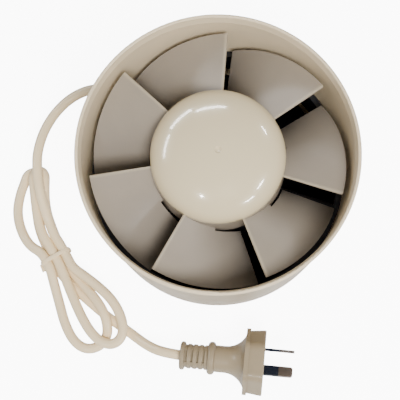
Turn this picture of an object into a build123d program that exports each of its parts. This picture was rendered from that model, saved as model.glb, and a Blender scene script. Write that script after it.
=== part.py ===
from build123d import *
import math
import os

# Inline duct fan, 150 mm. Origin: centre of the outlet end of the duct, on the surface it stands on.
# +Z runs along the duct axis from the outlet to the inlet. All sizes are in millimetres.

# ---------------------------------------------------------------- driving dimensions
DUCT_LENGTH = 100.0
WALL_R = 74.2            # outside of the duct wall
BORE_R = 72.2            # inside of the duct wall
SPIGOT_R = 74.0          # outlet spigot, a little slimmer than the wall
SPIGOT_LENGTH = 18.0
SPIGOT_STEP = 1.6        # length of the slope from the spigot up to the wall
LIP_R = 75.0             # rounded collar round the inlet
LIP_HEIGHT = 3.6
LIP_BORE_R = 73.0
GROOVE_DEPTH = 0.5
GROOVE_HEIGHT = 0.6

HUB_R = 36.4             # at the edge of the dome
HUB_DRAFT = 0.8          # how much wider the skirt is at its lower end
HUB_SKIRT_Z = 66.0
DOME_BASE_Z = 87.0
DOME_TOP_Z = 103.0
DIMPLE_R = 2.4           # sphere that makes the dimple in the middle of the dome
DIMPLE_DEPTH = 1.0
HUB_SHELL = 2.0
BLADE_COUNT = 7
BLADE_TIP_R = 69.3
BLADE_ROOT_R = 38.4      # free rear half of each blade root, past a slit along the skirt
BLADE_JOIN_Z = 74.0      # above this height the root is joined to the skirt
BLADE_LEAD_Z = 84.5
BLADE_TRAIL_Z = 56.4
BLADE_SPAN = 47.6        # degrees covered by one blade
BLADE_LEAD_AZIMUTH = 137.63
BLADE_THICK = 2.0
BLADE_CAMBER = 3.2
BLADE_CORNER_R = 0.8

STRUT_AZIMUTHS = [-18.0, 102.0, 222.0]
STRUT_THICK = 5.0
STRUT_Z = (24.0, 47.0)
RING_R = 68.8            # inside of the ring that carries the struts
CUP_R = 35.5
CUP_BORE_R = 33.3
CUP_Z = (20.0, 64.0)
CUP_ROOF = 2.2
CUP_ROOF_HOLE_R = 16.0

SHAFT_R = 2.5
SHAFT_Z = (24.0, 92.0)
RUNNING_GAP = 0.03       # shaft to bearing, on the radius
AIR_GAP = 0.3            # rotor to stator, on the radius
ROTOR_R = 13.0
STACK_Z = (41.0, 54.0)
STACK_R = 29.0
YOKE_R = 24.0
POLE_WIDTH = 9.0
REAR_PLATE_Z = (33.5, 35.5)
FRONT_PLATE_Z = (59.8, 61.8)
BRACKET_R = 30.0
TIE_SCREW_R = 1.5
TIE_SCREW_CIRCLE_R = 26.5
MOTOR_AZIMUTH = 118.0    # one pole of the motor points this way, and so do its wires
POLES = [MOTOR_AZIMUTH + 90.0 * k for k in range(4)]
DIAGONALS = [pole + 45.0 for pole in POLES]

CORD_R = 3.0
CABLE_ENTRY_AZIMUTH = 137.0      # where the cable entry crosses the wall
CABLE_ENTRY_HEADING = 165.0      # the way its outlet points
CABLE_Z = 28.0
ENTRY_BOSS_R = 8.0
ENTRY_BOSS_OUT = 6.0
GROMMET_SLEEVE_R = 5.2
GROMMET_COLLAR_R = 6.9
GROMMET_COLLAR = 2.5

PIN_WIDTH = 6.35
PIN_THICK = 1.6
PIN_LENGTH = 17.1
PIN_SLEEVE = 8.8
PIN_CORE_WIDTH = 5.2
PIN_CORE_THICK = 0.9
PLUG_PITCH = 2.5         # degrees that the plug's axis rises towards its face
PLUG_HEADING = -5.4
PLUG_REAR = (-22.2, -103.9, 15.9)
PLUG_ROLL = 210.0
PLUG_LENGTH = 49.4

# Route of the cord from the grommet to the hank, and from the hank to the plug.
FEED_ROUTE = [
    (-62.5, 52.8, 28.0), (-69.5, 54.7, 28.0), (-77.9, 54.3, 27.2), (-86.4, 51.5, 25.0),
    (-94.2, 46.4, 22.0), (-101.4, 38.7, 19.2), (-107.2, 28.6, 17.0), (-110.3, 17.0, 15.0),
    (-110.0, 6.0, 11.6),
]
LEAD_ROUTE = [
    (-57.0, -87.6, 3.0), (-50.4, -92.4, 3.8), (-42.6, -97.9, 8.6), (-33.2, -102.2, 14.2),
    PLUG_REAR,
]
HANK_HEIGHT = 12.2
TIE_CENTRE = (-98.4, -45.0)
TIE_HEADING = 35.0       # the way the tie's long side runs
TIE_LONG = 18.8
TIE_BAND = 0.8
TIE_WIDTH = 3.2


# ---------------------------------------------------------------- helpers
def disc(radius, z0, z1, x=0.0, y=0.0):
    return Pos(x, y, z0) * Cylinder(radius, z1 - z0, align=(Align.CENTER, Align.CENTER, Align.MIN))


def tube(r_out, r_in, z0, z1, x=0.0, y=0.0):
    return disc(r_out, z0, z1, x, y) - disc(r_in, z0 - 1, z1 + 1, x, y)


def block(x0, x1, y0, y1, z0, z1):
    size = (x1 - x0, y1 - y0, z1 - z0)
    return Pos((x0 + x1) / 2, (y0 + y1) / 2, (z0 + z1) / 2) * Box(*size)


def sector(r_in, r_out, a0, a1, z0, z1):
    """A piece of a ring between two azimuths."""
    outer = CenterArc((0, 0), r_out, a0, a1 - a0)
    inner = CenterArc((0, 0), r_in, a0, a1 - a0)
    sides = [Line(inner @ 0, outer @ 0), Line(inner @ 1, outer @ 1)]
    return Pos(0, 0, z0) * extrude(make_face([outer, inner] + sides), z1 - z0)


def spin(shape, azimuth):
    return Rot(0, 0, azimuth) * shape


def around(shape, azimuths):
    return [spin(shape, azimuth) for azimuth in azimuths]


def on_circle(radius, azimuth):
    angle = math.radians(azimuth)
    return radius * math.cos(angle), radius * math.sin(angle)


def turned(points):
    """A solid of revolution about Z from (radius, z) corners."""
    return revolve(make_face(Polyline([(r, 0, z) for r, z in points], close=True)), Axis.Z)


def fused(shapes):
    whole = shapes[0]
    for shape in shapes[1:]:
        whole = whole + shape
    return whole


def screw(shank_r, length, head_r, head_height):
    """A pan-head screw along Z: the head's underside is at z = 0 and the shank goes down."""
    return disc(head_r, 0, head_height) + disc(shank_r, -length, 0)


# ---------------------------------------------------------------- duct housing
ENTRY_WALL_POINT = on_circle(WALL_R, CABLE_ENTRY_AZIMUTH)
ENTRY_DIRECTION = on_circle(1.0, CABLE_ENTRY_HEADING)


def along_entry(distance):
    """A point on the cable entry's axis, outwards from where it crosses the wall."""
    x = ENTRY_WALL_POINT[0] + distance * ENTRY_DIRECTION[0]
    y = ENTRY_WALL_POINT[1] + distance * ENTRY_DIRECTION[1]
    return (x, y, CABLE_Z)


def entry_rod(radius, start, end):
    """A cylinder on the cable entry's axis."""
    plane = Plane(origin=along_entry(start), z_dir=(ENTRY_DIRECTION[0], ENTRY_DIRECTION[1], 0))
    return extrude(plane * Circle(radius), end - start)


def mount_screw(extra=0.0):
    """A countersunk screw through the wall into the ring, pointing inwards at azimuth 0."""
    head = Pos(WALL_R - 0.9, 0, 35.5) * Rot(0, 90, 0) * Cone(1.6 + extra, 3.0 + extra, 1.8)
    shank = Pos(71.0, 0, 35.5) * Rot(0, 90, 0) * Cylinder(1.6 + extra, 5.0)
    return (head + shank) & disc(WALL_R, 30, 41)


def duct_housing():
    lip_z = DUCT_LENGTH - LIP_HEIGHT
    groove_z = lip_z - GROOVE_HEIGHT
    body = turned([
        (BORE_R, 0.6), (BORE_R + 0.6, 0), (SPIGOT_R, 0), (SPIGOT_R, SPIGOT_LENGTH),
        (WALL_R, SPIGOT_LENGTH + SPIGOT_STEP), (WALL_R, groove_z), (WALL_R - GROOVE_DEPTH, groove_z),
        (WALL_R - GROOVE_DEPTH, lip_z), (LIP_R, lip_z), (LIP_R, DUCT_LENGTH),
        (LIP_BORE_R, DUCT_LENGTH), (LIP_BORE_R, DUCT_LENGTH - 1.5), (BORE_R, DUCT_LENGTH - 6.0),
    ])
    rim = body.edges().filter_by(GeomType.CIRCLE).group_by(Axis.Z)[-1]
    body = fillet(rim, 0.9)
    boss = entry_rod(ENTRY_BOSS_R, -8, ENTRY_BOSS_OUT) - disc(BORE_R + 0.5, 0, DUCT_LENGTH)
    body = body + boss - entry_rod(GROMMET_SLEEVE_R, -20, 20)
    for hole in around(mount_screw(0.05), STRUT_AZIMUTHS):
        body = body - hole
    return body


# ---------------------------------------------------------------- motor mount: ring, struts and cup
COVER_SCREW_AZIMUTHS = [30.0, 180.0, 285.0]
COVER_Z = (20.0, 22.2)


def motor_mount():
    z0, z1 = STRUT_Z
    ring = tube(BORE_R - 0.05, RING_R, z0, z1)
    strut = block(CUP_R - 1.0, RING_R + 1.0, -STRUT_THICK / 2, STRUT_THICK / 2, z0 + 2, z1 - 1)
    strut = fillet(strut.edges().filter_by(Axis.X), 1.6)
    shell = disc(CUP_R, *CUP_Z) - disc(CUP_BORE_R, CUP_Z[0] - 1, CUP_Z[1] - CUP_ROOF)
    shell = fillet(shell.edges().filter_by(GeomType.CIRCLE).group_by(Axis.Z)[-1], 1.2)
    shell = shell - disc(CUP_ROOF_HOLE_R, CUP_Z[1] - 5, CUP_Z[1] + 1)
    lug = disc(3.4, COVER_Z[1], 31.0, 30.6, 0) & disc(CUP_BORE_R + 0.6, 20, 40)
    body = fused([ring, shell] + around(strut, STRUT_AZIMUTHS) + around(lug, COVER_SCREW_AZIMUTHS))
    for hole in around(disc(1.15, 21, 30, 30.6, 0), COVER_SCREW_AZIMUTHS):
        body = body - hole
    for hole in around(disc(TIE_SCREW_R, 60, 66, TIE_SCREW_CIRCLE_R, 0), DIAGONALS):
        body = body - hole
    for hole in around(mount_screw(), STRUT_AZIMUTHS):
        body = body - hole
    lead_way = entry_rod(GROMMET_SLEEVE_R + 1.0, -12, 4)
    cup_hole = spin(Pos(CUP_R, 0, CABLE_Z) * Rot(0, 90, 0) * Cylinder(CORD_R + 0.6, 8), MOTOR_AZIMUTH)
    return body - lead_way - cup_hole


def rear_cover():
    plate = disc(CUP_BORE_R - 0.1, *COVER_Z)
    for hole in around(disc(1.5, 19, 23, 30.6, 0), COVER_SCREW_AZIMUTHS):
        plate = plate - hole
    vent = sector(12.0, 24.0, -4.0, 4.0, 19, 23)
    for slot in around(vent, [20.0 * k for k in range(18)]):
        plate = plate - slot
    return plate + disc(9.0, COVER_Z[0] - 0.8, COVER_Z[0])


def cover_screws():
    one = Pos(30.6, 0, COVER_Z[0]) * Rot(180, 0, 0) * screw(1.15, 9.0, 2.6, 1.6)
    return around(one, COVER_SCREW_AZIMUTHS)


# ---------------------------------------------------------------- motor: stator, brackets and bearings
BOSS_R = 9.5
BEARING_R = 5.5
FELT_R = 7.4
FRONT_BOSS_Z = 70.0
REAR_BOSS_Z = 26.0
BEARING_LENGTH = 6.6
BEARING_WEB_HOLE_R = 4.2


def bracket(plate_z, boss_end, stack_face):
    """A bearing bracket: an open plate, a bearing boss away from the rotor and four legs to the stack."""
    z0, z1 = plate_z
    low, high = min(z0, boss_end), max(z1, boss_end)
    plate = disc(BRACKET_R, z0, z1)
    for window in around(sector(14.0, 26.0, -24.0, 24.0, z0 - 1, z1 + 1), POLES):
        plate = plate - window
    inner = z1 if stack_face > z1 else z0
    leg_z = (min(inner, stack_face), max(inner, stack_face))
    legs = around(disc(2.9, leg_z[0], leg_z[1], TIE_SCREW_CIRCLE_R, 0), DIAGONALS)
    body = fused([plate, disc(BOSS_R, low, high)] + legs)
    pocket = (z1, high + 1) if boss_end > z1 else (low - 1, z0)
    body = body - disc(FELT_R + 0.1, *pocket) - disc(BEARING_WEB_HOLE_R, low - 1, high + 1)
    for hole in around(disc(TIE_SCREW_R + 0.1, 20, 70, TIE_SCREW_CIRCLE_R, 0), DIAGONALS):
        body = body - hole
    return body


def bearing(z0):
    """A sintered bush with rounded shoulders."""
    bush = disc(BEARING_R, z0, z0 + BEARING_LENGTH)
    bush = fillet(bush.edges().filter_by(GeomType.CIRCLE), 1.2)
    return bush - disc(SHAFT_R + RUNNING_GAP, z0 - 1, z0 + BEARING_LENGTH + 1)


FRONT_BEARING_Z = FRONT_PLATE_Z[1]
REAR_BEARING_Z = REAR_PLATE_Z[0] - BEARING_LENGTH


def bearing_felts():
    return [tube(FELT_R, BEARING_R + 0.1, z + 1.2, z + 5.2) for z in (FRONT_BEARING_Z, REAR_BEARING_Z)]


def bearing_retainers():
    """Toothed spring washers that hold the bushes in their pockets."""
    tooth = sector(3.4, 6.0, -9.0, 9.0, 0, 0.5)
    ring = tube(FELT_R, 5.6, 0, 0.5)
    washer = fused([ring] + around(tooth, [60.0 * k for k in range(6)]))
    front = FRONT_BEARING_Z + BEARING_LENGTH + 0.1
    rear = REAR_BEARING_Z - 0.6
    return [Pos(0, 0, front) * washer, Pos(0, 0, rear) * washer]


SHOE_R = 15.9
STATOR_BORE_R = ROTOR_R + AIR_GAP
SHADE_R = 14.7


def stator_stack():
    z0, z1 = STACK_Z
    yoke = tube(STACK_R, YOKE_R, z0, z1)
    pole = block(14.0, YOKE_R + 1.0, -POLE_WIDTH / 2, POLE_WIDTH / 2, z0, z1)
    shoe = sector(STATOR_BORE_R, SHOE_R, -36.0, 36.0, z0, z1)
    body = fused([yoke] + around(pole, POLES) + around(shoe, POLES)) - disc(STATOR_BORE_R, z0 - 1, z1 + 1)
    for slot in around(sector(13.0, SHADE_R, 21.5, 24.5, z0 - 1, z1 + 1), POLES):
        body = body - slot
    for hole in around(disc(TIE_SCREW_R + 0.1, 20, 70, TIE_SCREW_CIRCLE_R, 0), DIAGONALS):
        body = body - hole
    return body


def shading_rings():
    """Copper loops let into one tip of each pole shoe."""
    z0, z1 = STACK_Z
    r0, r1 = STATOR_BORE_R + 0.1, SHADE_R - 0.1
    bars = [sector(r0, r1, 22.0, 24.0, z0 - 1.2, z1 + 1.2), sector(r0, r1, 36.3, 38.3, z0 - 1.2, z1 + 1.2)]
    ends = [sector(r0, r1, 22.0, 38.3, z - 0.6, z + 0.6) for z in (z0 - 0.65, z1 + 0.65)]
    return around(fused(bars + ends), POLES)


BOBBIN_WALL = 0.8
COIL_DEPTH = 3.4
BOBBIN_X = (16.2, 22.2)
BOBBIN_FLANGE = 0.8


def box_tube(x0, x1, inner, outer):
    """A rectangular tube round a pole, with its walls from inner to outer beyond the pole's faces."""
    z0, z1 = STACK_Z
    half = POLE_WIDTH / 2
    hole = block(x0 - 1, x1 + 1, -half - inner, half + inner, z0 - inner, z1 + inner)
    return block(x0, x1, -half - outer, half + outer, z0 - outer, z1 + outer) - hole


def coil_bobbins():
    x0, x1 = BOBBIN_X
    rim = BOBBIN_WALL + COIL_DEPTH
    core = box_tube(x0, x1, 0.1, BOBBIN_WALL)
    flanges = [box_tube(x0, x0 + BOBBIN_FLANGE, 0.1, rim), box_tube(x1 - BOBBIN_FLANGE, x1, 0.1, rim)]
    return around(fused([core] + flanges), POLES)


def stator_windings():
    x0, x1 = BOBBIN_X[0] + BOBBIN_FLANGE, BOBBIN_X[1] - BOBBIN_FLANGE
    coil = box_tube(x0 + 0.05, x1 - 0.05, BOBBIN_WALL + 0.05, BOBBIN_WALL + COIL_DEPTH - 0.4)
    middle_z = (STACK_Z[0] + STACK_Z[1]) / 2
    corners = coil.edges().filter_by(Axis.X).sort_by(lambda edge: abs(edge.center().Z - middle_z))
    return around(fillet(corners[-4:], 1.2), POLES)


def tie_screws():
    """Long screws from the rear bracket through the stack into the roof of the cup."""
    one = Pos(TIE_SCREW_CIRCLE_R, 0, REAR_PLATE_Z[0]) * Rot(180, 0, 0) * screw(TIE_SCREW_R, 30.2, 2.7, 2.0)
    return around(one, DIAGONALS)


# ---------------------------------------------------------------- wiring inside the fan
TERMINAL_X = (11.0, 21.0)
TERMINAL_Z = (22.8, 31.8)
TERMINAL_PITCH = 8.0


def terminal_block():
    body = block(*TERMINAL_X, -8.5, 8.5, *TERMINAL_Z)
    body = body - block(TERMINAL_X[0] - 1, TERMINAL_X[1] + 1, -0.8, 0.8, 27.0, 33.0)
    for side in (-TERMINAL_PITCH / 2, TERMINAL_PITCH / 2):
        body = body - Pos(16, side, 26.6) * Rot(0, 90, 0) * Cylinder(1.3, 12)
        body = body - disc(1.9, 22.0, 26.0, 16.0, side)
    return spin(body, MOTOR_AZIMUTH)


def terminal_screws():
    pair = [disc(1.6, 23.2, 25.4, 16.0, side) for side in (-TERMINAL_PITCH / 2, TERMINAL_PITCH / 2)]
    return [spin(one - block(14, 18, -5, 5, 23.0, 23.6), MOTOR_AZIMUTH) for one in pair]


def wire(points, radii, radius):
    path = FilletPolyline(*points, radius=radii)
    start = Plane(origin=path @ 0, z_dir=path % 0)
    return sweep(start * Circle(radius), path=path)


LEAD_END_R = 25.0
LEAD_BEND = 15.0


def inner_lead():
    """The cord's own end, from the grommet through the cup wall to the anchor."""
    angle = math.radians(CABLE_ENTRY_HEADING - MOTOR_AZIMUTH)
    offset = math.radians(CABLE_ENTRY_HEADING - CABLE_ENTRY_AZIMUTH)
    bend_r = WALL_R * math.sin(offset) / math.sin(angle)
    bend = on_circle(bend_r, MOTOR_AZIMUTH)
    end = on_circle(LEAD_END_R, MOTOR_AZIMUTH)
    points = [along_entry(-4.0), (*bend, CABLE_Z), (*end, CABLE_Z)]
    return wire(points, LEAD_BEND, CORD_R - 0.1)


def lead_cores():
    """Insulated cores from the end of the lead into the terminals."""
    cores = []
    for side in (-1, 1):
        points = [(LEAD_END_R, side * 1.3, CABLE_Z), (LEAD_END_R - 1.6, side * 1.3, CABLE_Z),
                  (TERMINAL_X[1] + 1.4, side * 4.0, 26.6), (TERMINAL_X[1] - 3.0, side * 4.0, 26.6)]
        cores.append(spin(wire(points, 0.9, 0.9), MOTOR_AZIMUTH))
    return cores


def motor_leads():
    """Wires from the terminals up through the rear bracket to the coils."""
    leads = []
    for side in (-1, 1):
        points = [(16.0, side * 4.0, TERMINAL_Z[1]), (16.0, side * 4.0, 33.6), (19.0, side * 5.2, 34.8),
                  (19.0, side * 5.2, 36.6)]
        leads.append(spin(wire(points, 0.8, 0.8), MOTOR_AZIMUTH))
    return leads


ANCHOR_X = (26.0, 31.0)


def cord_anchor():
    body = block(*ANCHOR_X, -10.5, 10.5, 23.0, 31.4)
    body = body - Pos(28.5, 0, CABLE_Z) * Rot(0, 90, 0) * Cylinder(CORD_R, 8)
    body = spin(body, MOTOR_AZIMUTH) & disc(CUP_BORE_R - 0.3, 20, 40)
    for side in (-7.2, 7.2):
        body = body - spin(disc(1.3, 22, 34, 28.5, side), MOTOR_AZIMUTH)
    return body


def anchor_screws():
    pair = [Pos(28.5, side, 23.0) * Rot(180, 0, 0) * screw(1.3, 8.0, 2.2, 0.7) for side in (-7.2, 7.2)]
    return [spin(one, MOTOR_AZIMUTH) for one in pair]


def thermal_cutout():
    body = block(17.6, 22.0, -3.2, 3.2, 58.3, 59.7)
    return spin(fillet(body.edges().filter_by(Axis.Z), 1.0), MOTOR_AZIMUTH + 180.0)


# ---------------------------------------------------------------- cable grommet
GROMMET_OUT = ENTRY_BOSS_OUT + GROMMET_COLLAR


def cable_grommet():
    collar = entry_rod(GROMMET_COLLAR_R, ENTRY_BOSS_OUT, GROMMET_OUT)
    collar = fillet(collar.edges().filter_by(GeomType.CIRCLE), 0.8)
    sleeve = entry_rod(GROMMET_SLEEVE_R - 0.05, -7.0, ENTRY_BOSS_OUT + 0.6)
    flange = entry_rod(GROMMET_SLEEVE_R + 0.9, -9.0, -6.8)
    body = collar + sleeve + flange
    return body - entry_rod(CORD_R, -20, 20)


# ---------------------------------------------------------------- rotor: impeller, shaft and cage
HUB_BOSS_R = 7.0
HUB_BUSH_R = 4.5
HUB_BUSH_Z = (76.0, 90.0)


def dome(radius, top, skirt):
    """A solid of the dome's shape: tapered skirt, then a quarter ellipse to the axis."""
    arc = EllipticalCenterArc((0, 0), radius, top - DOME_BASE_Z, start_angle=0, arc_size=90)
    arc = Pos(0, DOME_BASE_Z) * arc
    lines = Polyline((0, top), (0, skirt), (radius + HUB_DRAFT, skirt), (radius, DOME_BASE_Z))
    return revolve(Plane.XZ * make_face([arc, lines]), Axis.Z)


def hub():
    shell = dome(HUB_R, DOME_TOP_Z, HUB_SKIRT_Z) - dome(HUB_R - HUB_SHELL, DOME_TOP_Z - HUB_SHELL, HUB_SKIRT_Z - 1)
    inside = dome(HUB_R - 1.0, DOME_TOP_Z - 1.0, HUB_SKIRT_Z)
    boss = disc(HUB_BOSS_R, 74.0, DOME_TOP_Z) & inside
    rib = block(0, HUB_R, -0.8, 0.8, 82.0, DOME_TOP_Z) & inside
    body = fused([shell, boss] + around(rib, [60.0 * k for k in range(6)]))
    body = body - disc(HUB_BUSH_R, 70, HUB_BUSH_Z[1]) - disc(SHAFT_R, 70, SHAFT_Z[1])
    return body - Pos(0, 0, DOME_TOP_Z + DIMPLE_R - DIMPLE_DEPTH) * Sphere(DIMPLE_R)


def blade_section(distance):
    """The blade's cambered section in the plane x = distance, at right angles to its middle radius."""
    half = distance * math.tan(math.radians(BLADE_SPAN / 2))
    lead, trail = Vector(-half, BLADE_LEAD_Z), Vector(half, BLADE_TRAIL_Z)
    chord = (trail - lead).normalized()
    normal = Vector(-chord.Y, chord.X)
    middle = (lead + trail) * 0.5 + normal * BLADE_CAMBER
    side = normal * (BLADE_THICK / 2)
    nose = chord * (BLADE_THICK / 2)
    upper = ThreePointArc(lead + side, middle + side, trail + side)
    rear = ThreePointArc(trail + side, trail + nose, trail - side)
    lower = ThreePointArc(trail - side, middle - side, lead - side)
    front = ThreePointArc(lead - side, lead - nose, lead + side)
    plane = Plane(origin=(distance, 0, 0), x_dir=(0, 1, 0), z_dir=(1, 0, 0))
    return plane * make_face([upper, rear, lower, front])


def blade():
    """One blade with the middle of its span at azimuth 0."""
    skin = loft([blade_section(30.0), blade_section(82.0)], ruled=True)
    half = BLADE_SPAN / 2 + 0.8
    plan = sector(BLADE_ROOT_R, BLADE_TIP_R, -half, half, 40, 100)
    corners = plan.edges().filter_by(Axis.Z).sort_by(lambda edge: edge.center().X ** 2 + edge.center().Y ** 2)
    plan = fillet(corners[-2:], BLADE_CORNER_R)
    root = sector(HUB_R - 1.0, BLADE_ROOT_R + 0.5, -half, half, BLADE_JOIN_Z, 100)
    return (skin & plan) + (skin & root)


def impeller():
    middle = BLADE_LEAD_AZIMUTH + BLADE_SPAN / 2
    pitch = 360.0 / BLADE_COUNT
    return fused([hub()] + around(blade(), [middle - pitch * k for k in range(BLADE_COUNT)]))


def hub_bush():
    return tube(HUB_BUSH_R, SHAFT_R, *HUB_BUSH_Z)


def motor_shaft():
    shaft = disc(SHAFT_R, *SHAFT_Z)
    shaft = chamfer(shaft.edges().filter_by(GeomType.CIRCLE), 0.4)
    return shaft - tube(4.0, SHAFT_R - 0.4, 24.9, 25.6)


CAGE_BARS = 12
CAGE_BAR_R = 1.1
CAGE_BAR_CIRCLE_R = 11.2


def rotor_bars(radius, z0, z1):
    return around(disc(radius, z0, z1, CAGE_BAR_CIRCLE_R, 0), [360.0 / CAGE_BARS * k for k in range(CAGE_BARS)])


def rotor_core():
    core = tube(ROTOR_R, SHAFT_R, *STACK_Z)
    for slot in rotor_bars(CAGE_BAR_R, STACK_Z[0] - 1, STACK_Z[1] + 1):
        core = core - slot
    return core


def rotor_cage():
    z0, z1 = STACK_Z
    rings = [tube(12.6, 7.5, z0 - 3.0, z0), tube(12.6, 7.5, z1, z1 + 3.0)]
    return fused(rings + rotor_bars(CAGE_BAR_R, z0 - 0.5, z1 + 0.5))


def rotor_spacers():
    return [tube(3.9, SHAFT_R, 36.9, STACK_Z[0]), tube(3.9, SHAFT_R, STACK_Z[1], 58.4)]


def thrust_washers():
    return [tube(5.2, SHAFT_R, 36.2, 36.8), tube(5.2, SHAFT_R, 58.5, 59.1)]


def shaft_clip():
    ring = tube(4.2, SHAFT_R - 0.35, 24.95, 25.55)
    return ring - block(0, 6, -1.2, 1.2, 24, 26)


# ---------------------------------------------------------------- supply cord, hank, tie and plug
def route_radii(points):
    """The largest tangent arc at each corner of a route: 0.45 of the shorter run over tan(half the turn)."""
    radii = []
    for before, here, after in zip(points, points[1:], points[2:]):
        into, out = Vector(*here) - Vector(*before), Vector(*after) - Vector(*here)
        turn = math.radians(into.get_angle(out))
        radii.append(0.45 * min(into.length, out.length) / math.tan(turn / 2))
    return radii


def cord_run(name, points):
    radii = route_radii(points)
    path = FilletPolyline(*points, radius=radii)
    run = sweep(Plane(origin=path @ 0, z_dir=path % 0) * Circle(CORD_R), path=path)
    section = math.pi * CORD_R ** 2
    print(name, "radii", [round(r, 1) for r in radii], "length", round(path.length, 1),
          "volume / section x length", round(run.volume / section / path.length, 4))
    return run


def cord_hank():
    """The outer shape of the folded and tied cord, lying flat."""
    outline = Spline(
        (-111.0, 13.4), (-119.6, 6.0), (-126.4, -7.6), (-126.6, -20.0), (-119.6, -36.2), (-108.0, -48.2),
        (-103.6, -62.0), (-98.0, -82.0), (-89.0, -97.6), (-76.0, -103.2), (-62.0, -100.6), (-53.4, -91.0),
        (-54.0, -78.0), (-64.6, -62.0), (-88.4, -45.2), (-94.4, -33.0), (-100.8, -12.0), (-102.8, 6.0),
        periodic=True)
    return extrude(make_face(outline), HANK_HEIGHT)


def cord_tie():
    """A flat band wound round the waist of the hank."""
    half = TIE_LONG / 2
    outer = block(-half - TIE_BAND, half + TIE_BAND, -TIE_WIDTH / 2, TIE_WIDTH / 2, 0, HANK_HEIGHT + TIE_BAND)
    outer = fillet(outer.edges().filter_by(Axis.Y), 2.6)
    inner = block(-half, half, -TIE_WIDTH, TIE_WIDTH, TIE_BAND, HANK_HEIGHT)
    inner = fillet(inner.edges().filter_by(Axis.Y), 1.9)
    return Pos(*TIE_CENTRE, 0) * Rot(0, 0, TIE_HEADING) * (outer - inner)


PLUG_SECTION_R = 20.2            # corners of the hexagon before rounding
COLLAR_R = 8.3
COLLAR_LENGTH = 3.0
SLEEVE_RIB_R = 7.2
SLEEVE_GROOVE_R = 6.7
NECK_R = 7.8
NECK_END = 26.0
RING_FLANGE_R = 9.6
RING_FLANGE_X = (16.2, 20.6)
RIDGE_X = 38.9
RIDGE_R = 20.8           # the flare before the hexagon trims it
RIB_PITCH = 3.4
FLEX_SLOT_X = 3.8        # first of the slots that let the sleeve bend
FLEX_SLOT = (1.3, 7.0, 2.6)      # length along the plug, width across it, depth


def hex_prism(corner_r, x0, x1, end_corner_r):
    """A rounded hexagon lofted along X, with corners up and down in its own Y."""
    faces = []
    for x, radius in ((x0, corner_r), (x1, end_corner_r)):
        outline = RegularPolygon(radius, 6, rotation=30.0)
        outline = fillet(outline.vertices(), 6.0)
        faces.append(Plane(origin=(x, 0, 0), x_dir=(0, 1, 0), z_dir=(1, 0, 0)) * outline)
    return loft(faces, ruled=True)


def plug_pin(y, z, angle):
    """A flat pin with a slim, sleeved root, at its place on the plug's face."""
    root = block(-6.0, PIN_SLEEVE, -PIN_CORE_THICK / 2, PIN_CORE_THICK / 2, -PIN_CORE_WIDTH / 2, PIN_CORE_WIDTH / 2)
    tip = block(PIN_SLEEVE, PIN_LENGTH, -PIN_THICK / 2, PIN_THICK / 2, -PIN_WIDTH / 2, PIN_WIDTH / 2)
    nose = tip.edges().filter_by(Axis.Y).group_by(Axis.X)[-1]
    tip = fillet(nose, 1.6)
    sleeve = block(-4.0, PIN_SLEEVE, -PIN_THICK / 2, PIN_THICK / 2, -PIN_WIDTH / 2, PIN_WIDTH / 2) - root
    place = Pos(PLUG_LENGTH, y, z) * Rot(angle, 0, 0)
    return place * (root + tip), place * sleeve


def plug_disc(radius, x0, x1, edge_r=0.0):
    """A disc on the plug's axis, with rounded edges where edge_r is given."""
    made = Pos((x0 + x1) / 2, 0, 0) * Rot(0, 90, 0) * Cylinder(radius, x1 - x0)
    if edge_r:
        made = fillet(made.edges().filter_by(GeomType.CIRCLE), edge_r)
    return made


def flex_slots():
    """Four slots on the upper side of the sleeve and four on its lower side."""
    length, width, depth = FLEX_SLOT
    slots = []
    for k in range(4):
        x = FLEX_SLOT_X + RIB_PITCH * k
        for side in (-1, 1):
            middle = side * (SLEEVE_RIB_R + 1.0 - (depth + 1.0) / 2)
            slot = block(x - length / 2, x + length / 2, -width / 2, width / 2, middle - (depth + 1.0) / 2,
                         middle + (depth + 1.0) / 2)
            slots.append(Rot(-PLUG_ROLL, 0, 0) * slot)
    return slots


def plug_pieces():
    """The moulded plug, its two pins and their sleeves, along +X from the cord."""
    collar = plug_disc(COLLAR_R, 0, COLLAR_LENGTH, 1.3)
    core = plug_disc(SLEEVE_GROOVE_R, COLLAR_LENGTH - 1.0, RING_FLANGE_X[0] + 1.0)
    flange = plug_disc(RING_FLANGE_R, *RING_FLANGE_X, 2.0)
    ribs = []
    for k in range(4):
        middle = FLEX_SLOT_X + RIB_PITCH * (k + 0.5)
        ribs.append(plug_disc(SLEEVE_RIB_R, middle - 1.2, middle + 1.2, 0.5))
    profile = make_face([
        ThreePointArc((NECK_END, NECK_R), (34.6, 10.9), (RIDGE_X, RIDGE_R)),
        Polyline((RIDGE_X, RIDGE_R), (RIDGE_X, 0), (18.0, 0), (18.0, NECK_R), (NECK_END, NECK_R)),
    ])
    flare = revolve(profile, Axis.X) & hex_prism(PLUG_SECTION_R, 10.0, RIDGE_X, PLUG_SECTION_R)
    ridge = hex_prism(PLUG_SECTION_R, RIDGE_X - 1.0, RIDGE_X + 1.4, PLUG_SECTION_R)
    face_block = hex_prism(PLUG_SECTION_R - 1.4, RIDGE_X, PLUG_LENGTH, PLUG_SECTION_R - 0.2)
    front = face_block.edges().group_by(Axis.X)[-1]
    face_block = fillet(front, 0.8)
    body = fused([collar, core, flange, flare, ridge, face_block] + ribs)
    for slot in flex_slots():
        body = body - slot
    pins, sleeves = [], []
    for y, z, angle in ((-6.86, 3.96, 60.0), (6.86, 3.96, 120.0)):
        pin, sleeve = plug_pin(y, z, angle - 90.0)
        pins.append(pin)
        sleeves.append(sleeve)
        body = body - pin - sleeve
    return body, pins, sleeves


def plug_place():
    """Where the plug lies: its rear on the cord's end, its axis rising to the face, rolled on a flat."""
    return Pos(*PLUG_REAR) * Rot(0, 0, PLUG_HEADING) * Rot(0, -PLUG_PITCH, 0) * Rot(PLUG_ROLL, 0, 0)


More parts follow.
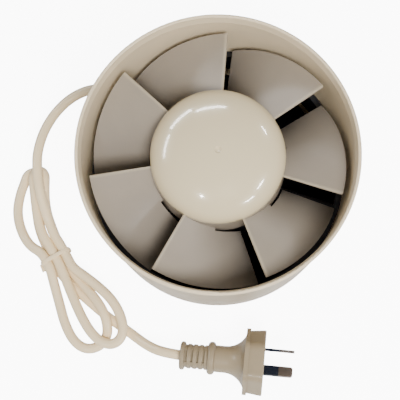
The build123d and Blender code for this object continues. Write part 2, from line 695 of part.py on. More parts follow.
# ---------------------------------------------------------------- write one STEP per node
plug_body, plug_pins, pin_sleeves = plug_pieces()
laid = plug_place()

nodes = {
    "duct_housing": duct_housing(),
    "motor_mount": motor_mount(),
    "mount_screws": around(mount_screw(), STRUT_AZIMUTHS),
    "motor_front_bracket": bracket(FRONT_PLATE_Z, FRONT_BOSS_Z, STACK_Z[1]),
    "motor_rear_bracket": bracket(REAR_PLATE_Z, REAR_BOSS_Z, STACK_Z[0]),
    "stator_stack": stator_stack(),
    "coil_bobbins": coil_bobbins(),
    "stator_windings": stator_windings(),
    "shading_rings": shading_rings(),
    "front_bearing": bearing(FRONT_BEARING_Z),
    "rear_bearing": bearing(REAR_BEARING_Z),
    "bearing_felts": bearing_felts(),
    "bearing_retainers": bearing_retainers(),
    "motor_tie_screws": tie_screws(),
    "thermal_cutout": thermal_cutout(),
    "terminal_block": terminal_block(),
    "terminal_screws": terminal_screws(),
    "inner_lead": inner_lead(),
    "lead_cores": lead_cores(),
    "motor_leads": motor_leads(),
    "cord_anchor": cord_anchor(),
    "anchor_screws": anchor_screws(),
    "rear_cover": rear_cover(),
    "cover_screws": cover_screws(),
    "cable_grommet": cable_grommet(),
    "impeller": impeller(),
    "hub_bush": hub_bush(),
    "motor_shaft": motor_shaft(),
    "rotor_core": rotor_core(),
    "rotor_cage": rotor_cage(),
    "rotor_spacers": rotor_spacers(),
    "thrust_washers": thrust_washers(),
    "shaft_clip": shaft_clip(),
    "cord_feed": cord_run("cord_feed", FEED_ROUTE),
    "cord_hank": cord_hank(),
    "cord_lead": cord_run("cord_lead", LEAD_ROUTE),
    "cord_tie": cord_tie(),
    "plug_body": laid * plug_body,
    "plug_pins": [laid * pin for pin in plug_pins],
    "pin_sleeves": [laid * sleeve for sleeve in pin_sleeves],
}

os.makedirs("parts", exist_ok=True)
for name, shape in nodes.items():
    solids = shape if isinstance(shape, list) else [shape]
    export_step(Compound(children=[solid for one in solids for solid in one.solids()]), f"parts/{name}.step")
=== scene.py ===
import math

import bpy
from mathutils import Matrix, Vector


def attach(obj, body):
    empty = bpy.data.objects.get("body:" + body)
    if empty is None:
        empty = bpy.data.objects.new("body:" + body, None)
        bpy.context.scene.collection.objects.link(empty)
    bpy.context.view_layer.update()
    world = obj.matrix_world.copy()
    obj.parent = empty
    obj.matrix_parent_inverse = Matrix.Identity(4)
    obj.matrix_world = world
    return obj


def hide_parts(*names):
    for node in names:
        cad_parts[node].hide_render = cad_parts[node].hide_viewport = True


# Inline duct fan, 150 mm, standing on its outlet end. Metres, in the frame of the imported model: the
# origin is the centre of the outlet end, and +Z runs along the duct from the outlet to the inlet.
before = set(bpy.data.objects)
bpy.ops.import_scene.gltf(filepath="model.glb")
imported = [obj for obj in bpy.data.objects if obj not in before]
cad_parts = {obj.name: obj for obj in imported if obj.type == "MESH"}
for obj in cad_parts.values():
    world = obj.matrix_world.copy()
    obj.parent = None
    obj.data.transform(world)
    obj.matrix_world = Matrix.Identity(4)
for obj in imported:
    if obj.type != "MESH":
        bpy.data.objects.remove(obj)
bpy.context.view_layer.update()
MM = 0.001

STATOR = "fan_body"              # the body that stands still


# ---------------------------------------------------------------- camera
CAMERA_ELEVATION = math.radians(79.36)
CAMERA_DISTANCE = 0.5927
CAMERA_LENS = 85.58
CAMERA_SHIFT = (-0.045, -0.0348)


def make_camera():
    data = bpy.data.cameras.new("camera")
    data.lens = CAMERA_LENS
    data.sensor_width = 36.0
    data.shift_x, data.shift_y = CAMERA_SHIFT
    data.clip_start, data.clip_end = 0.01, 20.0
    camera = bpy.data.objects.new("camera", data)
    bpy.context.scene.collection.objects.link(camera)
    back = Vector((0, -math.cos(CAMERA_ELEVATION), math.sin(CAMERA_ELEVATION)))
    camera.location = back * CAMERA_DISTANCE
    camera.rotation_euler = (math.pi / 2 - CAMERA_ELEVATION, 0, 0)
    bpy.context.scene.camera = camera


# ---------------------------------------------------------------- materials
FLOW_SCALE = 22.0                # scales of noise, in repeats a metre
WAVE_SCALE = 60.0
WEAR_SCALE = 90.0
DUST_SCALE = 40.0
GRAIN_SCALE = 1800.0
LINE_SCALE = 900.0
STAIN_SCALE = 160.0
NOISE_MIDDLE = (0.3, 0.7)        # the part of a noise's range that holds most of it
WALL_OUTSIDE = (0.0736, 0.0739)  # radii across which the duct's wall counts as its outside
COLLAR_FOOT = (0.0958, 0.0966)   # heights across which the wall turns into the rolled collar
DOME_FOOT = (0.0850, 0.0868)     # heights across which the blades turn into the dome
BLADE_SHADE_HEIGHTS = (0.052, 0.082)    # heights across which the blades' painted shade fades, lighter further up


def node(tree, kind, **values):
    made = tree.nodes.new(kind)
    for name, value in values.items():
        setattr(made, name, value)
    return made


def noise_node(tree, place, scale, detail, roughness=0.5):
    made = node(tree, "ShaderNodeTexNoise")
    made.inputs["Scale"].default_value = scale
    made.inputs["Detail"].default_value = detail
    made.inputs["Roughness"].default_value = roughness
    tree.links.new(place, made.inputs["Vector"])
    return made.outputs["Fac"]


def spread(tree, value, low, high, out_low, out_high):
    made = node(tree, "ShaderNodeMapRange")
    made.inputs["From Min"].default_value = low
    made.inputs["From Max"].default_value = high
    made.inputs["To Min"].default_value = out_low
    made.inputs["To Max"].default_value = out_high
    tree.links.new(value, made.inputs["Value"])
    return made.outputs["Result"]


def contrast(tree, noise, out_low=0.0, out_high=1.0):
    """A noise stretched so that it goes the whole way between two values."""
    return spread(tree, noise, *NOISE_MIDDLE, out_low, out_high)


def mixed(tree, share, first, second):
    """A mix of two colours, each a plain colour or the output of another node."""
    made = node(tree, "ShaderNodeMix", data_type="RGBA")
    tree.links.new(share, made.inputs["Factor"])
    for name, colour in (("A", first), ("B", second)):
        if isinstance(colour, tuple):
            made.inputs[name].default_value = (*colour, 1)
        else:
            tree.links.new(colour, made.inputs[name])
    return made.outputs["Result"]


def bumped(tree, height, distance, under=None):
    made = node(tree, "ShaderNodeBump")
    made.inputs["Strength"].default_value = 1.0
    made.inputs["Distance"].default_value = distance
    tree.links.new(height, made.inputs["Height"])
    if under is not None:
        tree.links.new(under, made.inputs["Normal"])
    return made.outputs["Normal"]


def height_in(tree, place, low, high, below=0.0, above=1.0):
    """One value below a height and another above it, with a short ramp between, up the duct's axis."""
    split = node(tree, "ShaderNodeSeparateXYZ")
    tree.links.new(place, split.inputs[0])
    return spread(tree, split.outputs["Z"], low, high, below, above)


def radius_in(tree, place, low, high):
    """0 nearer to the duct's axis than low, and 1 further out than high."""
    flat = node(tree, "ShaderNodeVectorMath", operation="MULTIPLY")
    flat.inputs[1].default_value = (1, 1, 0)
    tree.links.new(place, flat.inputs[0])
    radius = node(tree, "ShaderNodeVectorMath", operation="LENGTH")
    tree.links.new(flat.outputs["Vector"], radius.inputs[0])
    return spread(tree, radius.outputs["Value"], low, high, 0, 1)


def shade(colour, share):
    return tuple(c * share for c in colour)


def new_material(name):
    material = bpy.data.materials.new(name)
    material.use_nodes = True
    tree = material.node_tree
    shader = tree.nodes["Principled BSDF"]
    place = node(tree, "ShaderNodeTexCoord").outputs["Object"]
    return material, tree, shader, place


def mottled(tree, place, dark, light):
    """The faint clouds of colour that the flow of the melt leaves in moulded plastic."""
    return mixed(tree, contrast(tree, noise_node(tree, place, FLOW_SCALE, 3.0)), dark, light)


def skin(tree, shader, place, grain, grain_depth, wave_depth=0.0):
    """The surface left by the mould: a fine grain and, on large pieces, a slight waviness."""
    normal = bumped(tree, noise_node(tree, place, grain, 2.0), grain_depth)
    if wave_depth:
        normal = bumped(tree, noise_node(tree, place, WAVE_SCALE, 1.0), wave_depth, under=normal)
    tree.links.new(normal, shader.inputs["Normal"])


def moulded(name, colour, rough, grain=GRAIN_SCALE, grain_depth=0.00002, coat=0.0, soft=0.0):
    """Moulded plastic or rubber: faint mottling, patches of wear and a fine grain."""
    material, tree, shader, place = new_material(name)
    clouds = mottled(tree, place, shade(colour, 0.94), shade(colour, 1.03))
    tree.links.new(clouds, shader.inputs["Base Color"])
    worn = noise_node(tree, place, WEAR_SCALE, 5.0)
    tree.links.new(contrast(tree, worn, rough * 0.82, rough * 1.2), shader.inputs["Roughness"])
    skin(tree, shader, place, grain, grain_depth)
    shader.inputs["Coat Weight"].default_value = coat
    shader.inputs["Coat Roughness"].default_value = 0.12
    shader.inputs["Subsurface Weight"].default_value = soft
    shader.inputs["Subsurface Radius"].default_value = (0.004, 0.003, 0.002)
    shader.inputs["Subsurface Scale"].default_value = 0.5
    return material


def housing_plastic(name, colour, outside):
    """The duct's own plastic, painted darker on the outside below the rolled collar as painted shade on
    the outer wall.
    """
    material, tree, shader, place = new_material(name)
    # Painted shade: the outer wall below the collar takes the darker outside colour.
    shaded_outside = node(tree, "ShaderNodeMath", operation="MULTIPLY")
    tree.links.new(radius_in(tree, place, *WALL_OUTSIDE), shaded_outside.inputs[0])
    tree.links.new(height_in(tree, place, *COLLAR_FOOT, below=1.0, above=0.0), shaded_outside.inputs[1])
    wall_colour = mottled(tree, place, shade(colour, 0.95), shade(colour, 1.02))
    tree.links.new(mixed(tree, shaded_outside.outputs["Value"], wall_colour, outside), shader.inputs["Base Color"])
    scuffs = noise_node(tree, place, WEAR_SCALE, 5.0)
    tree.links.new(contrast(tree, scuffs, 0.30, 0.44), shader.inputs["Roughness"])
    skin(tree, shader, place, GRAIN_SCALE, 0.00002, wave_depth=0.00006)
    shader.inputs["Coat Weight"].default_value = 0.1
    shader.inputs["Coat Roughness"].default_value = 0.12
    return material


def impeller_plastic(name, dome, dusty_shaded_blade, deep_shade):
    """One moulding: a polished dome, and satin blades painted darker, partly for dust and partly as
    painted shade, with more painted shade the deeper they sit.
    """
    material, tree, shader, place = new_material(name)
    dust = contrast(tree, noise_node(tree, place, DUST_SCALE, 6.0, 0.6))
    dusty_shaded_film = mixed(tree, dust, shade(dusty_shaded_blade, 0.94), shade(dusty_shaded_blade, 1.04))
    # Painted shade: the blades darken to a deeper colour the lower they sit in the duct.
    blades = mixed(tree, height_in(tree, place, *BLADE_SHADE_HEIGHTS), deep_shade, dusty_shaded_film)
    polished = mottled(tree, place, shade(dome, 0.97), dome)
    on_dome = height_in(tree, place, *DOME_FOOT)
    tree.links.new(mixed(tree, on_dome, blades, polished), shader.inputs["Base Color"])
    tree.links.new(height_in(tree, place, *DOME_FOOT, below=0.40, above=0.24), shader.inputs["Roughness"])
    tree.links.new(on_dome, shader.inputs["Coat Weight"])
    shader.inputs["Coat Roughness"].default_value = 0.07
    skin(tree, shader, place, GRAIN_SCALE, 0.00001, wave_depth=0.00003)
    return material


def metal(name, colour, rough, brush=(1.0, 1.0, 1.0), brush_depth=0.00001):
    """Metal with fine lines along one direction, from drawing, grinding or plating."""
    material, tree, shader, place = new_material(name)
    mapping = node(tree, "ShaderNodeMapping")
    mapping.inputs["Scale"].default_value = brush
    tree.links.new(place, mapping.inputs["Vector"])
    lines = noise_node(tree, mapping.outputs["Vector"], LINE_SCALE, 3.0)
    stain = noise_node(tree, place, STAIN_SCALE, 4.0)
    stained = mixed(tree, stain, shade(colour, 0.92), shade(colour, 1.08))
    tree.links.new(stained, shader.inputs["Base Color"])
    tree.links.new(contrast(tree, lines, rough * 0.8, rough * 1.3), shader.inputs["Roughness"])
    tree.links.new(bumped(tree, lines, brush_depth), shader.inputs["Normal"])
    shader.inputs["Metallic"].default_value = 1.0
    return material


# The outside colour is painted shade for the outer wall, darker than the plastic itself.
HOUSING = housing_plastic("housing_plastic", (0.83, 0.68, 0.455), outside=(0.47, 0.375, 0.235))
# The blade colour is partly dust and partly painted shade, though blades and dome are one moulding; the
# deepest colour is painted shade.
IMPELLER = impeller_plastic("impeller_plastic", dome=(0.75, 0.625, 0.385), dusty_shaded_blade=(0.285, 0.24, 0.185),
                            deep_shade=(0.19, 0.165, 0.14))
# Near black as painted shade: the mount sits in shadow inside the duct, and its dark colour keeps the
# inside dark.
MOUNT = moulded("mount_plastic", (0.014, 0.015, 0.018), 0.4)
COVER = moulded("cover_plastic", (0.006, 0.006, 0.008), 0.5)
CORD = moulded("cord_sheath", (0.92, 0.735, 0.455), 0.34, grain=2600.0, grain_depth=0.000012, coat=0.15)
PLUG = moulded("plug_plastic", (0.31, 0.245, 0.155), 0.36, grain=2200.0, grain_depth=0.00002, coat=0.12)
GROMMET = moulded("grommet_rubber", (0.62, 0.55, 0.43), 0.5)
NYLON = moulded("nylon", (0.70, 0.66, 0.56), 0.5, soft=0.1)
FIBRE = moulded("fibre", (0.20, 0.08, 0.04), 0.6)
FELT = moulded("felt", (0.50, 0.48, 0.40), 0.9, grain=900.0, grain_depth=0.0002)
WIRE = moulded("wire_insulation", (0.05, 0.12, 0.38), 0.35)
SLEEVE = moulded("pin_sleeve_plastic", (0.006, 0.010, 0.022), 0.35, grain=2400.0)
STEEL = metal("zinc_plated_steel", (0.62, 0.62, 0.60), 0.32)
GROUND = metal("ground_steel", (0.70, 0.70, 0.70), 0.22, brush=(1, 1, 30))
LAMINATION = metal("laminations", (0.25, 0.25, 0.27), 0.45, brush=(0.02, 0.02, 2.2), brush_depth=0.00008)
CAST = metal("die_casting", (0.62, 0.62, 0.63), 0.48, brush_depth=0.00005)
COPPER = metal("enamelled_copper", (0.62, 0.25, 0.10), 0.3, brush=(0.4, 0.4, 3.0), brush_depth=0.00012)
BRONZE = metal("sintered_bronze", (0.50, 0.34, 0.16), 0.5, brush_depth=0.00004)
BRASS = metal("turned_brass", (0.72, 0.55, 0.25), 0.28, brush=(1, 1, 20))
PIN = metal("pin_plating", (0.30, 0.26, 0.235), 0.34, brush=(2, 12, 12))

NODE_MATERIALS = {
    HOUSING: ["duct_housing"],
    IMPELLER: ["impeller"],
    MOUNT: ["motor_mount"],
    COVER: ["rear_cover"],
    CORD: ["inner_lead"],
    NYLON: ["coil_bobbins", "thermal_cutout", "terminal_block", "cord_anchor", "rotor_spacers"],
    FIBRE: ["thrust_washers"],
    FELT: ["bearing_felts"],
    WIRE: ["lead_cores", "motor_leads"],
    SLEEVE: ["pin_sleeves"],
    STEEL: ["mount_screws", "cover_screws", "bearing_retainers", "motor_tie_screws", "terminal_screws",
            "anchor_screws", "shaft_clip"],
    GROUND: ["motor_shaft"],
    LAMINATION: ["stator_stack", "rotor_core"],
    CAST: ["motor_front_bracket", "motor_rear_bracket", "rotor_cage"],
    COPPER: ["stator_windings", "shading_rings"],
    BRONZE: ["front_bearing", "rear_bearing"],
    BRASS: ["hub_bush"],
    PIN: ["plug_pins"],
    PLUG: ["plug_body"],
}


def finish_cad_nodes():
    for material, names in NODE_MATERIALS.items():
        for name in names:
            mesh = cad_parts[name].data
            mesh.materials.clear()
            mesh.materials.append(material)


# ---------------------------------------------------------------- supply cord
CORD_DIAMETER = 6.0
FEED_ROUTE = [
    (-62.5, 52.8, 28.0), (-69.5, 54.7, 28.0), (-77.9, 54.3, 27.2), (-86.4, 51.5, 25.0),
    (-94.2, 46.4, 22.6), (-101.2, 38.7, 20.8), (-106.6, 28.6, 20.0), (-109.4, 17.0, 20.2),
]
LEAD_ROUTE = [
    (-57.0, -87.6, 3.0), (-50.4, -92.4, 3.8), (-42.6, -97.9, 8.6), (-33.2, -102.2, 14.2),
    (-22.2, -103.9, 15.9),
]
TIE_CENTRE = (-98.4, -45.0)
TIE_HEADING = math.radians(30.0)
TOP_ROW = 9.1            # heights of the two layers of cord in the tie
LOW_ROW = 3.9
FOLD_STEPS = 6


def in_tie(across, height, past):
    """A point of a strand in the tie: across along the tie's long side, past its middle line."""
    c, s = math.cos(TIE_HEADING), math.sin(TIE_HEADING)
    return (TIE_CENTRE[0] + across * c + past * s, TIE_CENTRE[1] + across * s - past * c, height)


def fold(centre, half_width, rise, start_height, end_height):
    """Half a turn from the left side to the right. The points stand outside the bend that they make."""
    outside = 1 / math.cos(math.pi / FOLD_STEPS / 2)
    points = []
    for step in range(FOLD_STEPS + 1):
        share = step / FOLD_STEPS
        angle = math.pi * (1 - share)
        lean = (1 + outside * math.cos(angle)) / 2
        points.append((centre[0] + half_width * outside * math.cos(angle),
                       centre[1] + rise * outside * math.sin(angle),
                       start_height + (end_height - start_height) * lean))
    return points


def hank_route():
    """The folded cord: over the folds and down, two long loops, and two short folds at the far end."""
    over_the_folds = [
        (-109.2, 8.2, 20.8), (-108.4, 0.2, 20.2), (-107.1, -8.2, 18.2), (-105.2, -16.0, 14.2),
        (-102.8, -24.0, 10.6), (-99.4, -32.4, 9.2),
    ]
    upper_loop = [
        in_tie(6.0, TOP_ROW, -6.0), in_tie(6.0, TOP_ROW, 4.5),
        (-87.8, -51.8, 9.6), (-79.6, -57.4, 9.9), (-71.2, -63.8, 10.0), (-64.0, -70.6, 10.0),
        (-59.0, -78.4, 9.8), (-56.4, -86.8, 9.6), (-57.4, -93.8, 9.4), (-62.4, -97.8, 9.3),
        (-69.0, -96.6, 9.3), (-75.4, -91.2, 9.2), (-81.2, -82.2, 8.8), (-86.8, -70.6, 8.4),
        (-91.8, -58.6, 8.9), in_tie(0.0, TOP_ROW, 4.5), in_tie(0.0, TOP_ROW, -6.0),
    ]
    up_to_the_upper_fold = [
        (-106.4, -32.4, 9.2), (-109.8, -22.6, 9.2), (-111.6, -11.0, 9.3), (-112.8, -2.0, 9.3),
    ]
    upper_fold = fold((-109.3, 1.8), 4.0, 5.0, 9.5, 14.9)
    down_under_the_feed = [
        (-105.5, -3.4, 13.8), (-105.9, -10.8, 8.8), (-105.2, -17.8, 4.4), (-102.4, -26.0, 3.4),
        (-98.6, -34.6, 3.5),
    ]
    lower_loop = [
        in_tie(3.0, LOW_ROW, -4.0), in_tie(3.0, LOW_ROW, 4.0),
        (-88.0, -54.8, 4.0), (-81.2, -62.4, 6.0), (-74.2, -69.8, 8.7), (-68.8, -77.4, 9.8),
        (-66.1, -85.4, 9.4), (-66.4, -92.4, 4.2), (-71.0, -98.8, 3.0), (-79.6, -100.6, 3.1),
        (-87.2, -95.2, 3.1), (-92.6, -84.8, 3.1), (-96.0, -73.0, 3.4), (-99.2, -61.0, 6.4),
        in_tie(-6.0, TOP_ROW, 4.5), in_tie(-6.0, TOP_ROW, -6.0),
    ]
    round_to_the_lower_fold = [
        (-114.6, -38.4, 6.4), (-120.8, -29.0, 3.6), (-123.8, -17.6, 3.1), (-122.6, -6.8, 3.1),
    ]
    lower_fold = fold((-113.8, 2.4), 5.6, 5.6, 3.1, 3.1)
    down_on_the_table = [
        (-109.3, -6.4, 3.1), (-112.0, -16.8, 3.1), (-109.4, -29.0, 3.1), (-104.8, -38.6, 3.5),
        in_tie(-3.0, LOW_ROW, -3.0), in_tie(-3.0, LOW_ROW, 4.0),
        (-93.6, -57.6, 3.1), (-85.0, -65.6, 3.0), (-74.6, -74.6, 3.0), (-65.4, -82.0, 3.0),
    ]
    return (over_the_folds + upper_loop + up_to_the_upper_fold + upper_fold + down_under_the_feed
            + lower_loop + round_to_the_lower_fold + lower_fold + down_on_the_table)


def nurbs_curve(name, points, radius):
    """One smooth open spline through the route, points in millimetres. The radius is on the points, since
    the curve's own box is its points' box plus their radius."""
    data = bpy.data.curves.new(name, "CURVE")
    data.dimensions = "3D"
    data.resolution_u = 10
    data.bevel_depth = 1.0
    data.bevel_resolution = 8
    data.use_fill_caps = True
    spline = data.splines.new("NURBS")
    spline.points.add(len(points) - 1)
    for point, place in zip(spline.points, points):
        point.co = (*(value * MM for value in place), 1.0)
        point.radius = radius * MM
    spline.order_u = 3
    spline.use_endpoint_u = True
    curve = bpy.data.objects.new(name, data)
    bpy.context.scene.collection.objects.link(curve)
    return curve


def curve_line(curve):
    """The points of a curve's own line, as the spline gives them, in metres."""
    bevel = curve.data.bevel_depth
    curve.data.bevel_depth = 0.0
    mesh = bpy.data.meshes.new_from_object(curve.evaluated_get(bpy.context.evaluated_depsgraph_get()))
    points = [vertex.co.copy() for vertex in mesh.vertices]
    bpy.data.meshes.remove(mesh)
    curve.data.bevel_depth = bevel
    return points


def mesh_piece(name, vertices, faces, material, body):
    """A smooth-shaded mesh of its own, riding on a body."""
    mesh = bpy.data.meshes.new(name)
    mesh.from_pydata(vertices, [], faces)
    mesh.validate()
    mesh.shade_smooth()
    mesh.materials.append(material)
    piece = bpy.data.objects.new(name, mesh)
    bpy.context.scene.collection.objects.link(piece)
    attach(piece, body)
    return piece


def grid_faces(rows, columns, closed_rows=False):
    """Quads of a tube made of rows of points, each row a closed ring of columns."""
    faces = []
    for row in range(rows if closed_rows else rows - 1):
        above = (row + 1) % rows
        for column in range(columns):
            beside = (column + 1) % columns
            faces.append((row * columns + column, row * columns + beside,
                          above * columns + beside, above * columns + column))
    return faces


def tube_along(points, radii, sides=40):
    """Vertices and faces of a closed tube with a radius of its own at each point."""
    vertices = []
    for index, (point, radius) in enumerate(zip(points, radii)):
        before, after = points[max(index - 1, 0)], points[min(index + 1, len(points) - 1)]
        forward = (after - before).normalized()
        across = forward.cross(Vector((0, 0, 1))).normalized()
        upward = across.cross(forward)
        for side in range(sides):
            angle = 2 * math.pi * side / sides
            aside = across * (radius * math.cos(angle))
            vertices.append(point + aside + upward * (radius * math.sin(angle)))
    faces = grid_faces(len(points), sides)
    faces.append(tuple(reversed(range(sides))))
    faces.append(tuple(range((len(points) - 1) * sides, len(points) * sides)))
    return vertices, faces


def make_cord():
    cord = nurbs_curve("supply_cord", FEED_ROUTE + hank_route() + LEAD_ROUTE, CORD_DIAMETER / 2)
    cord.data.materials.append(CORD)
    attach(cord, STATOR)
    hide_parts("cord_feed", "cord_hank", "cord_lead")
    return cord


# The strain relief: a flanged sleeve through the wall, a collar outside, and a ribbed taper on the cord.
RELIEF_SLEEVE = [                # distance from the collar's face and radius, from the inside outwards
    (-17.4, 3.2), (-17.4, 6.0), (-15.4, 6.0), (-15.2, 5.1), (-2.6, 5.1), (-2.4, 6.5), (-2.0, 6.9),
    (-0.5, 6.9), (0.0, 6.5), (0.3, 4.9),
]
RELIEF_TAPER = 12.0              # length of the ribbed taper, and its radius at each end
RELIEF_TAPER_RADII = (4.9, 3.3)
RELIEF_TIP = (0.2, 3.02)         # the edge of its mouth: distance past the taper and radius
RELIEF_RIB_PITCH = 2.4
RELIEF_GROOVE = 0.35             # depth of the grooves between the ribs
RELIEF_STEPS = 60
NUDGE = 1e-6                     # keeps apart, in metres, the rings that stand at one distance


def relief_profile():
    """Distance and radius of each ring: the sleeve and collar, then a taper with shallow grooves."""
    profile = list(RELIEF_SLEEVE)
    thick, thin = RELIEF_TAPER_RADII
    start = profile[-1][0]
    for step in range(1, RELIEF_STEPS + 1):
        share = step / RELIEF_STEPS
        distance = RELIEF_TAPER * share
        phase = (distance % RELIEF_RIB_PITCH) / RELIEF_RIB_PITCH
        groove = RELIEF_GROOVE * max(0.0, math.sin(2 * math.pi * phase)) ** 2
        profile.append((start + distance, thick + (thin - thick) * share - groove))
    profile.append((start + RELIEF_TAPER + RELIEF_TIP[0], RELIEF_TIP[1]))
    return profile


def point_on(line, distance):
    """The point at a distance along a line of points. Below 0 it is straight back from the start."""
    if distance <= 0:
        return line[0] - (line[0] - line[1]).normalized() * distance
    for before, after in zip(line, line[1:]):
        run = (after - before).length
        if distance <= run:
            return before.lerp(after, distance / run)
        distance -= run


def make_strain_relief(cord_line):
    profile = relief_profile()
    inwards = (cord_line[0] - cord_line[1]).normalized()
    points = [point_on(cord_line, distance * MM) + inwards * NUDGE * (len(profile) - 1 - rank)
              for rank, (distance, _) in enumerate(profile)]
    vertices, faces = tube_along(points, [radius * MM for _, radius in profile])
    relief = mesh_piece("strain_relief", vertices, faces, GROMMET, STATOR)
    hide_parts("cable_grommet")
    return relief


# The tie: a flat band round the waist of the hank, and its two short ends twisted together at one side.
TIE_HALF = (9.5, 6.1)            # half the band's long side and half its height, to its middle
TIE_HEIGHT = 6.45
TIE_BAND = (2.6, 0.9)            # width and thickness
TIE_SQUARENESS = 3.2             # exponent of the super-ellipse that the band follows
TIE_STEPS = 96                   # steps round the band, and sides of its section
TIE_SIDES = 16
TIE_CLEAR = 0.1                  # least height of the band above the floor
TWIST_LENGTH = 3.4
TWIST_TURNS = 2.5
TWIST_WIRE = 0.6                 # radius of the wire, and of the helix that it follows
TWIST_START = 0.4                # from the band's middle line out to the twist
TWIST_AWAY = 0.25                # how far it leans away from the hank, as a share of its length
TWIST_DROP = 3.4
TWIST_STEPS = 40


def tie_axes():
    """Directions along the tie's long side and past it, and its middle in millimetres."""
    along = Vector((math.cos(TIE_HEADING), math.sin(TIE_HEADING), 0))
    past = Vector((math.sin(TIE_HEADING), -math.cos(TIE_HEADING), 0))
    return along, past, Vector((*TIE_CENTRE, TIE_HEIGHT))


def tie_line():
    """The band's middle line across the hank, a closed super-ellipse."""
    power = 2 / TIE_SQUARENESS
    line = []
    for step in range(TIE_STEPS):
        angle = 2 * math.pi * step / TIE_STEPS
        c, s = math.cos(angle), math.sin(angle)
        line.append((TIE_HALF[0] * math.copysign(abs(c) ** power, c),
                     TIE_HALF[1] * math.copysign(abs(s) ** power, s)))
    return line


def make_tie_band():
    """A flat oval section carried round the line."""
    along, past, centre = tie_axes()
    line = tie_line()
    vertices = []
    for step, (x, z) in enumerate(line):
        (x0, z0), (x1, z1) = line[step - 1], line[(step + 1) % TIE_STEPS]
        length = math.hypot(x1 - x0, z1 - z0)
        outward = ((z1 - z0) / length, (x0 - x1) / length)
        for side in range(TIE_SIDES):
            angle = 2 * math.pi * side / TIE_SIDES
            proud = TIE_BAND[1] / 2 * math.sin(angle)
            aside = TIE_BAND[0] / 2 * math.cos(angle)
            place = centre + along * (x + outward[0] * proud) + past * aside
            place.z = max(place.z + z + outward[1] * proud, TIE_CLEAR)
            vertices.append(place * MM)
    faces = grid_faces(TIE_STEPS, TIE_SIDES, closed_rows=True)
    band = mesh_piece("cord_tie_band", vertices, faces, CORD, STATOR)
    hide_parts("cord_tie")
    return band


def make_tie_end(end):
    """One of the two wires of the twist, half a turn from the other."""
    along, past, centre = tie_axes()
    points = []
    for step in range(TWIST_STEPS + 1):
        share = step / TWIST_STEPS
        angle = 2 * math.pi * (TWIST_TURNS * share + end / 2)
        out = TIE_HALF[0] + TWIST_START + TWIST_LENGTH * TWIST_AWAY * share
        place = centre - along * out + past * TWIST_LENGTH * share
        place += along * (TWIST_WIRE * math.cos(angle))
        place.z += TWIST_WIRE * math.sin(angle) - TWIST_DROP * share
        points.append(place * MM)
    vertices, faces = tube_along(points, [TWIST_WIRE * MM] * len(points), 12)
    return mesh_piece(f"cord_tie_end_{end + 1}", vertices, faces, CORD, STATOR)


def make_tie():
    return [make_tie_band(), make_tie_end(0), make_tie_end(1)]


def make_cord_set():
    cord = make_cord()
    relief = make_strain_relief(curve_line(cord))
    on_the_cord = [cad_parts[name] for name in ("plug_body", "plug_pins", "pin_sleeves")]
    on_the_cord + make_tie() + [relief]


# ---------------------------------------------------------------- studio
SKY = 0.55
AIM = Vector((0, 0, 0.06))       # the point that every light faces
FLOOR_SIZE = 6.0
FLOOR_GLOW = 9.0                 # only for the camera, so that the paper is white but lights nothing
SHADE_DISC_RADIUS = 0.0732
SHADE_DISC_HEIGHT = 0.0001
LIGHTS = [                       # name, azimuth, elevation, distance, width and height, power, use
    ("window_north", 97, 34, 1.4, (0.60, 0.10), 7.0, "shine"),
    ("window_north_west", 128, 27, 1.4, (0.60, 0.12), 8.0, "shine"),
    ("window_west", 160, 31, 1.4, (0.55, 0.10), 6.0, "shine"),
    ("tube_east", -26, 38, 1.3, (0.26, 0.04), 4.0, "shine"),
    ("tube_south_east", -50, 32, 1.3, (0.26, 0.04), 4.0, "shine"),
    ("lamp_south", -116, 53, 1.3, (0.08, 0.06), 2.5, "shine"),
    ("tube_north_east", 38, 30, 1.4, (0.20, 0.04), 2.0, "shine"),
    ("key", -70, 62, 1.6, (0.60, 0.60), 36.0, "shade"),
]


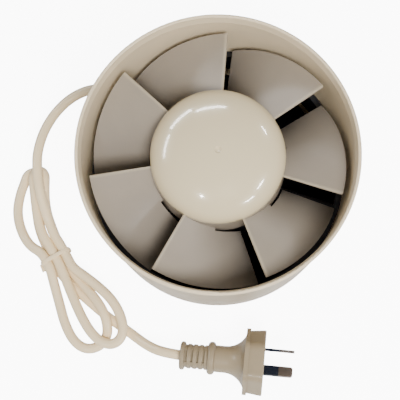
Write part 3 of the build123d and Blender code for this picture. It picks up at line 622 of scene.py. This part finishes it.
def area_light(name, azimuth, elevation, distance, size, power, use):
    """A soft light over the fan. One that is for shine adds nothing to the matt shading, and one that is
    for shade has no mirror image in the polished dome."""
    data = bpy.data.lights.new(name, "AREA")
    data.shape = "RECTANGLE"
    data.size, data.size_y = size
    data.energy = power
    light = bpy.data.objects.new(name, data)
    bpy.context.scene.collection.objects.link(light)
    a, e = math.radians(azimuth), math.radians(elevation)
    away = Vector((math.cos(a) * math.cos(e), math.sin(a) * math.cos(e), math.sin(e)))
    light.location = AIM + away * distance
    light.rotation_euler = (-away).to_track_quat("-Z", "Y").to_euler()
    light.visible_diffuse = use == "shade"
    light.visible_glossy = use == "shine"


def make_floor():
    bpy.ops.mesh.primitive_plane_add(size=FLOOR_SIZE, location=(0, 0, 0))
    floor = bpy.context.object
    floor.name = "floor"
    material, tree, shader, place = new_material("floor_paper")
    fibres = noise_node(tree, place, 300.0, 5.0)
    paper = mixed(tree, fibres, (0.86, 0.86, 0.86), (0.90, 0.90, 0.90))
    tree.links.new(paper, shader.inputs["Base Color"])
    shader.inputs["Roughness"].default_value = 0.9
    shader.inputs["Specular IOR Level"].default_value = 0.1
    shader.inputs["Emission Color"].default_value = (1, 1, 1, 1)
    seen = node(tree, "ShaderNodeLightPath").outputs["Is Camera Ray"]
    tree.links.new(spread(tree, seen, 0, 1, 0, FLOOR_GLOW), shader.inputs["Emission Strength"])
    floor.data.materials.append(material)


def make_painted_shade_disc():
    """A dark disc on the floor inside the duct, a painted shade standing in for the shadow there, so that
    no light comes up between the blades.
    """
    bpy.ops.mesh.primitive_circle_add(vertices=96, radius=SHADE_DISC_RADIUS, fill_type="NGON",
                                      location=(0, 0, SHADE_DISC_HEIGHT))
    disc = bpy.context.object
    disc.name = "painted_shade_disc"
    material, tree, shader, place = new_material("painted_shade_black")
    # Painted shade: near black, standing in for the dark inside of the duct.
    fibres = noise_node(tree, place, 600.0, 5.0)
    felt = mixed(tree, fibres, (0.004, 0.004, 0.005), (0.008, 0.008, 0.009))
    tree.links.new(felt, shader.inputs["Base Color"])
    shader.inputs["Roughness"].default_value = 1.0
    shader.inputs["Specular IOR Level"].default_value = 0.0
    disc.data.materials.append(material)


def make_studio():
    make_floor()
    make_painted_shade_disc()
    world = bpy.data.worlds.new("studio")
    world.use_nodes = True
    world.node_tree.nodes["Background"].inputs["Color"].default_value = (1, 1, 1, 1)
    world.node_tree.nodes["Background"].inputs["Strength"].default_value = SKY
    bpy.context.scene.world = world
    for light in LIGHTS:
        area_light(*light)


make_camera()
finish_cad_nodes()
make_cord_set()
make_studio()
